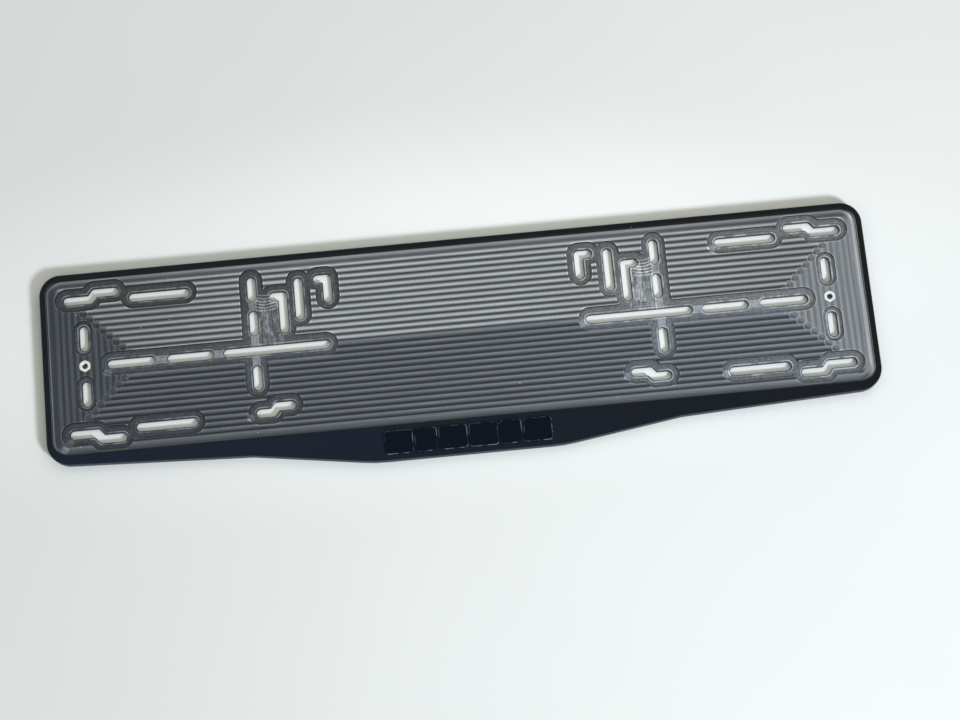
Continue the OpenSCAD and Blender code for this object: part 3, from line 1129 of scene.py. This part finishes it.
@dataclass(frozen=True)
class NutFinish:
    """Bright zinc plating with fine turning marks and painted shade in the bore. Lengths are millimetres."""

    name: str = "Zinc plating"
    zinc: Shade = (0.97, 0.98, 0.98)
    shadow: Shade = (0.74, 0.76, 0.77)
    bore: float = 1.9
    bore_edge: float = 0.3
    # Painted shade: the bore and the thread in it are painted nearly black.
    bore_painted_shade: float = 0.06
    turning_pitch: float = 0.35
    turning_strength: float = 0.12
    grain: Grain = Grain(0.6, 0.6)
    roughness: Pair = (0.22, 0.42)
    metallic: float = 0.45
    bump_strength: float = 0.3
    bump_depth: float = 0.03

    def build(self, effects: SharedEffects, centre: Vector, tinge: Shade) -> bpy.types.Material:
        """Make the material of one nut.

        Args:
            effects: The shared node groups.
            centre: The nut's centre, in millimetres.
            tinge: What its plating's colour is multiplied by.

        Returns:
            The material.
        """
        material, paint, shader, place = open_material(self.name, effects)
        x, y, _ = paint.parts(paint.vector("SUBTRACT", place, tuple(centre)))
        radius = paint.vector("LENGTH", paint.joined(x, y))
        grain = self.grain.over(paint, place)
        turning = paint.product(paint.wave(radius, self.turning_pitch), self.turning_strength)
        mask = paint.math("ADD", turning, grain.outputs["Height"], clamp=True)
        colour = paint.tint(mask, as_linear(self.shadow), as_linear(self.zinc))
        colour = paint.vector("MULTIPLY", colour, tinge)
        # Painted shade in the bore.
        bore_shade = paint.rise(radius, self.bore - self.bore_edge, self.bore, self.bore_painted_shade, 1.0)
        paint.feed(shader.inputs["Base Color"], paint.vector("SCALE", colour, scale=bore_shade))
        paint.feed(shader.inputs["Roughness"], paint.choose(grain.outputs["Height"], *self.roughness))
        shader.inputs["Metallic"].default_value = self.metallic
        paint.bump(shader, mask, self.bump_strength, self.bump_depth)
        return material


@dataclass(frozen=True)
class TileFinish:
    """Gloss black with a faint grain, a little dust and a painted glint, partly wear, on the edges.

    Lengths are millimetres.
    """

    name: str = "Gloss black"
    black: Shade = (0.028, 0.055, 0.105)
    dust: Shade = (0.25, 0.26, 0.28)
    # Painted glint, partly wear: a light colour on the tiles' edges.
    wear_and_glint: Shade = (0.40, 0.42, 0.46)
    grain: Grain = Grain(1.2, 0.6)
    specks: Scatter = Scatter(4.0, 0.18)
    edge_slopes: tuple[Pair, Pair] = ((0.3, 0.6), (0.8, 0.97))
    edge_wear_and_glint: Clouds = Clouds(0.22, (0.44, 0.62), (0.05, 1.0))
    roughness: Pair = (0.12, 0.28)
    specular: float = 0.05

    def build(self, effects: SharedEffects) -> bpy.types.Material:
        """Make the tiles' material.

        Args:
            effects: The shared node groups.

        Returns:
            The material.
        """
        material, paint, shader, place = open_material(self.name, effects)
        grain = self.grain.over(paint, place)
        colour = paint.vector("SCALE", as_linear(self.black)[:3], scale=grain.outputs["Factor"])
        colour = paint.tint(self.specks.over(paint, place), colour, as_linear(self.dust))
        # Painted glint, partly wear, on the edges.
        wear = self.edge_wear_and_glint.over(paint, place)
        edge = paint.product(paint.between(paint.slope(), *self.edge_slopes), wear)
        paint.feed(shader.inputs["Base Color"], paint.tint(edge, colour, as_linear(self.wear_and_glint)))
        paint.feed(shader.inputs["Roughness"], paint.choose(grain.outputs["Height"], *self.roughness))
        shader.inputs["Specular IOR Level"].default_value = self.specular
        return material


def open_material(
    name: str, effects: SharedEffects | None = None
) -> tuple[bpy.types.Material, Paint, bpy.types.Node, Socket]:
    """Start a material on one Principled BSDF.

    Args:
        name: The material's name.
        effects: The shared node groups, if it uses them.

    Returns:
        The material, its paint, its shader and the place in millimetres.
    """
    material = bpy.data.materials.new(name)
    material.use_nodes = True
    material.node_tree.nodes.clear()
    paint = Paint(material.node_tree, effects)
    output = paint.node("ShaderNodeOutputMaterial")
    shader = paint.node("ShaderNodeBsdfPrincipled")
    paint.feed(output.inputs["Surface"], shader.outputs[0])
    metres = paint.node("ShaderNodeTexCoord").outputs["Object"]
    return material, paint, shader, paint.vector("SCALE", metres, scale=1 / MM)


def dress(piece: bpy.types.Object, material: bpy.types.Material) -> None:
    """Give a whole piece one material."""
    piece.data.materials.clear()
    piece.data.materials.append(material)


@dataclass
class HolderPlate:
    """The milled sheet itself."""

    finish: PlateFinish = PlateFinish()

    def dress(self, frame: dict, effects: SharedEffects) -> None:
        """Give the sheet its finish, with the recesses where the record's openings are.

        Args:
            effects: The shared node groups.
        """
        boxes = {opening["name"]: opening["box_m"] for opening in frame["record"]["physics"]["openings"]}
        dress(frame["nodes"]["holder_plate"], self.finish.build(effects, SlotLayout(boxes)))
        LOG.info("%s dressed, %d openings read", Dressing.PLATE.value, len(boxes))


@dataclass
class PlateNuts:
    """The two nuts and the threads inside them. Lengths are metres."""

    finish: NutFinish = NutFinish()
    sides: tuple[str, ...] = ("left", "right")
    tinges: tuple[Shade, ...] = ((1.0, 1.0, 0.90), (0.92, 1.0, 1.0))
    thread_pitch: float = 0.7 * MM
    thread_radius: float = 1.65 * MM
    thread_depth: float = 0.3 * MM
    thread_half_share: float = 0.36
    thread_gap: float = 0.01 * MM
    mouth: float = 0.4 * MM
    steps_a_turn: int = 32

    def dress(self, frame: dict, effects: SharedEffects) -> None:
        """Give both nuts their finish and a thread.

        Args:
            effects: The shared node groups.
        """
        for side, tinge in zip(self.sides, self.tinges):
            low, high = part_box(f"{side}_nut")
            material = self.finish.build(effects, (low + high) / 2 / MM, tinge)
            dress(frame["nodes"][f"{side}_nut"], material)
            thread = self._thread(f"{side}_nut_thread", low, high)
            dress(thread, material)
            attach(thread, "root")
            LOG.info("%s_nut dressed, thread of %d faces", side, len(thread.data.polygons))

    def _thread(self, name: str, low: Vector, high: Vector) -> bpy.types.Object:
        """Wind the thread inside one nut.

        Args:
            name: The thread's name.
            low: The nut's lowest corner.
            high: The nut's highest corner.

        Returns:
            The thread, in place.
        """
        centre = (low + high) / 2
        length = high.z - low.z - 2 * self.mouth
        turns = int(length / self.thread_pitch)
        mesh = bmesh.new()
        half = self.thread_pitch * self.thread_half_share
        start = low.z + self.mouth + half
        outer = self.thread_radius - self.thread_gap
        corners = [
            mesh.verts.new((centre.x + outer, centre.y, start - half)),
            mesh.verts.new((centre.x + outer - self.thread_depth, centre.y, start)),
            mesh.verts.new((centre.x + outer, centre.y, start + half)),
        ]
        profile = mesh.faces.new(corners)
        climb = self.thread_pitch / self.steps_a_turn
        bmesh.ops.spin(
            mesh, geom=[profile], cent=centre, axis=(0, 0, 1), angle=2 * math.pi * turns,
            dvec=(0, 0, climb), steps=self.steps_a_turn * turns, use_duplicate=False,
        )
        bmesh.ops.recalc_face_normals(mesh, faces=mesh.faces)
        return placed(mesh, name)


@dataclass
class LipTiles:
    """The raised tiles on the lip."""

    finish: TileFinish = TileFinish()
    count: int = 6

    def dress(self, frame: dict, effects: SharedEffects) -> None:
        """Give the tiles their finish.

        Args:
            effects: The shared node groups.
        """
        material = self.finish.build(effects)
        for number in range(1, self.count + 1):
            dress(frame["nodes"][f"lip_tile_{number}"], material)
        LOG.info("%d of %s dressed", self.count, Dressing.TILE.value)


def placed(mesh: bmesh.types.BMesh, name: str) -> bpy.types.Object:
    """Turn a bmesh into an object of the scene, at the origin, and free it.

    Args:
        mesh: The bmesh.
        name: The object's name.

    Returns:
        The object.
    """
    data = bpy.data.meshes.new(name)
    mesh.to_mesh(data)
    mesh.free()
    piece = bpy.data.objects.new(name, data)
    bpy.context.scene.collection.objects.link(piece)
    return piece


@dataclass
class Studio:
    """The camera, the pale floor with a painted pool of light, and the soft lights.

    Lengths are metres, and the floor's spans and cloud scale are for millimetres. Angles are degrees.
    """

    camera_place: Point = (-0.0091, -0.28475, 1.24776)
    camera_turn: Point = (12.047, 0.199, -5.456)
    lens: float = 75.0
    sensor: float = 36.0
    floor_size: float = 6.0
    floor_shade: Shade = (0.965, 0.985, 0.985)
    # Painted light: the floor is painted lighter round a spot near the object and darker further off, and
    # lighter again round the object's middle.
    floor_dim: float = 0.955
    floor_bright_spot: Point = (0.16, -0.12, 0.0)
    floor_dim_span: Pair = (60.0, 480.0)
    floor_cloud_scale: float = 0.006
    floor_cloud_strength: float = 0.5
    floor_glow: float = 0.935
    floor_glow_middle: Point = (-0.04, 0.02, 0.0)
    floor_glow_squeeze: Point = (0.35, 1.0, 1.0)
    floor_glow_span: Pair = (50.0, 150.0)
    floor_roughness: float = 0.9
    sky_shade: Shade = (0.945, 0.94, 0.90)
    sky_light: float = 0.55
    key_place: Point = (1.98, -2.25, 1.73)
    key_size: float = 0.6
    key_power: float = 125.0
    key_colour: Shade = (0.895, 0.92, 1.0)
    fill_place: Point = (1.0, 1.3, 1.6)
    fill_size: float = 1.4
    fill_power: float = 6.6
    fill_colour: Shade = (1.0, 0.95, 0.86)

    def set_camera(self) -> None:
        """Put the camera where the photograph was taken from."""
        data = bpy.data.cameras.new("camera")
        data.sensor_width = self.sensor
        data.lens = self.lens
        camera = bpy.data.objects.new("camera", data)
        camera.location = self.camera_place
        camera.rotation_euler = Euler([math.radians(angle) for angle in self.camera_turn])
        bpy.context.scene.collection.objects.link(camera)
        bpy.context.scene.camera = camera

    def _lamp(self, name: str, place: Point, size: float, power: float, colour: Shade) -> None:
        """Add a square lamp that looks at the object's middle.

        Args:
            name: The lamp's name.
            place: Where it stands.
            size: Its side.
            power: Its power in watts.
            colour: Its colour.
        """
        data = bpy.data.lights.new(name, "AREA")
        data.size = size
        data.energy = power
        data.color = colour
        lamp = bpy.data.objects.new(name, data)
        lamp.location = place
        lamp.rotation_euler = Vector(place).to_track_quat("Z", "Y").to_euler()
        bpy.context.scene.collection.objects.link(lamp)

    def _floor(self) -> None:
        """Lay the pale floor under the object, painted lighter round a spot near it and darker further off."""
        mesh = bmesh.new()
        bmesh.ops.create_grid(mesh, x_segments=1, y_segments=1, size=self.floor_size / 2)
        floor = placed(mesh, "floor")
        material, paint, shader, place = open_material("Pale board")
        bright, middle = (
            tuple(value / MM for value in point) for point in (self.floor_bright_spot, self.floor_glow_middle)
        )
        # Painted light: lighter round the bright spot, darker further off.
        away = paint.rise(paint.vector("DISTANCE", place, bright), *self.floor_dim_span)
        cloud = paint.math("SUBTRACT", paint.noise(place, self.floor_cloud_scale), 0.5)
        cloud = paint.product(cloud, self.floor_cloud_strength)
        patches = paint.math("ADD", away, cloud, clamp=True)
        dull = tuple(shade * self.floor_dim for shade in self.floor_shade)
        colour = paint.tint(patches, as_linear(self.floor_shade), as_linear(dull))
        # Painted light: lighter round the object's middle.
        offset = paint.vector("MULTIPLY", paint.vector("SUBTRACT", place, middle), self.floor_glow_squeeze)
        far = paint.vector("LENGTH", offset)
        painted_light = paint.rise(far, *self.floor_glow_span, 1.0, self.floor_glow ** EYE_GAMMA)
        paint.feed(shader.inputs["Base Color"], paint.vector("SCALE", colour, scale=painted_light))
        shader.inputs["Roughness"].default_value = self.floor_roughness
        shader.inputs["Specular IOR Level"].default_value = 0.0
        dress(floor, material)

    def _sky(self) -> None:
        """Light the object evenly from all round, and show a pale background."""
        world = bpy.data.worlds.new("sky")
        bpy.context.scene.world = world
        world.use_nodes = True
        world.node_tree.nodes.clear()
        paint = Paint(world.node_tree)
        path = paint.node("ShaderNodeLightPath")
        shown = paint.math("MAXIMUM", path.outputs["Is Camera Ray"], path.outputs["Is Glossy Ray"])
        shown = paint.math("MAXIMUM", shown, path.outputs["Is Transmission Ray"])
        back = paint.node("ShaderNodeBackground")
        colour = paint.tint(shown, as_linear(self.sky_shade), as_linear(self.floor_shade))
        paint.feed(back.inputs["Color"], colour)
        paint.feed(back.inputs["Strength"], paint.choose(shown, self.sky_light, 1.0))
        paint.feed(paint.node("ShaderNodeOutputWorld").inputs["Surface"], back.outputs[0])

    def build(self) -> None:
        """Set up the floor, the background and the lamps."""
        self._floor()
        self._sky()
        self._lamp("key", self.key_place, self.key_size, self.key_power, self.key_colour)
        self._lamp("fill", self.fill_place, self.fill_size, self.fill_power, self.fill_colour)
        bpy.context.scene.view_settings.view_transform = "Standard"


def main() -> None:
    """Load the frame, set up the studio and dress each piece."""
    logging.basicConfig(level=logging.INFO, format="%(name)s: %(message)s")
    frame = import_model()
    studio = Studio()
    studio.set_camera()
    studio.build()
    effects = SharedEffects()
    HolderPlate().dress(frame, effects)
    PlateNuts().dress(frame, effects)
    LipTiles().dress(frame, effects)


if __name__ == "__main__":
    main()
